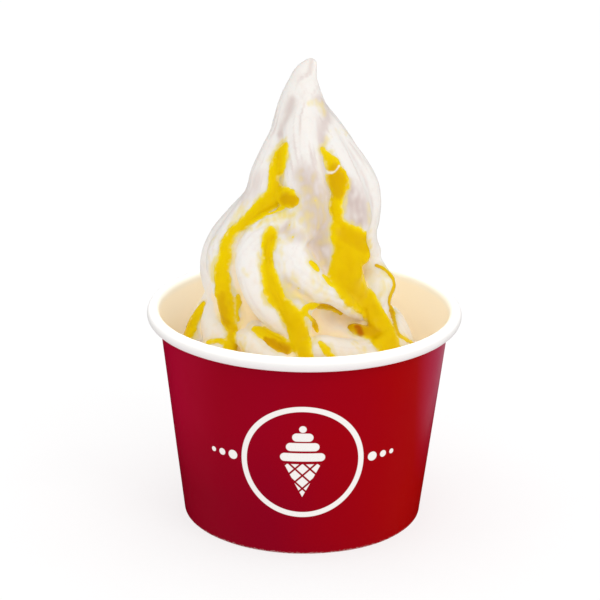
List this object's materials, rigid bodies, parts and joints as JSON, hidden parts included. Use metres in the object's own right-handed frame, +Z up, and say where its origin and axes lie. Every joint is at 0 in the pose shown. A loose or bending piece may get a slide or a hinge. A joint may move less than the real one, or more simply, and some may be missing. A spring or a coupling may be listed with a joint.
{
  "type": "ice cream sundae",
  "caption": "Tall twisted soft-serve swirl with thick yellow fruit sauce, served in a tapered red paper cup with a rolled white lip.",
  "frame": {"origin": "centre of the ring that the cup stands on, on the surface below it", "axes": "+Z up along the cup's axis, -Y towards the side with the printed badge, +X to the right of someone who looks at that side"},
  "size_m": [0.095, 0.095, 0.1413],
  "materials": {
    "printed_paper": "coated paper, printed red outside, semi-gloss",
    "plain_paper": "uncoated cream paper board",
    "ice_cream": "soft white ice cream with a moist satin surface",
    "sauce": "wet glossy yellow fruit sauce"
  },
  "bodies": {
    "root": {"cup_wall": "printed_paper", "cup_base": "plain_paper", "ice_cream": "ice_cream"}
  },
  "joints": []
}
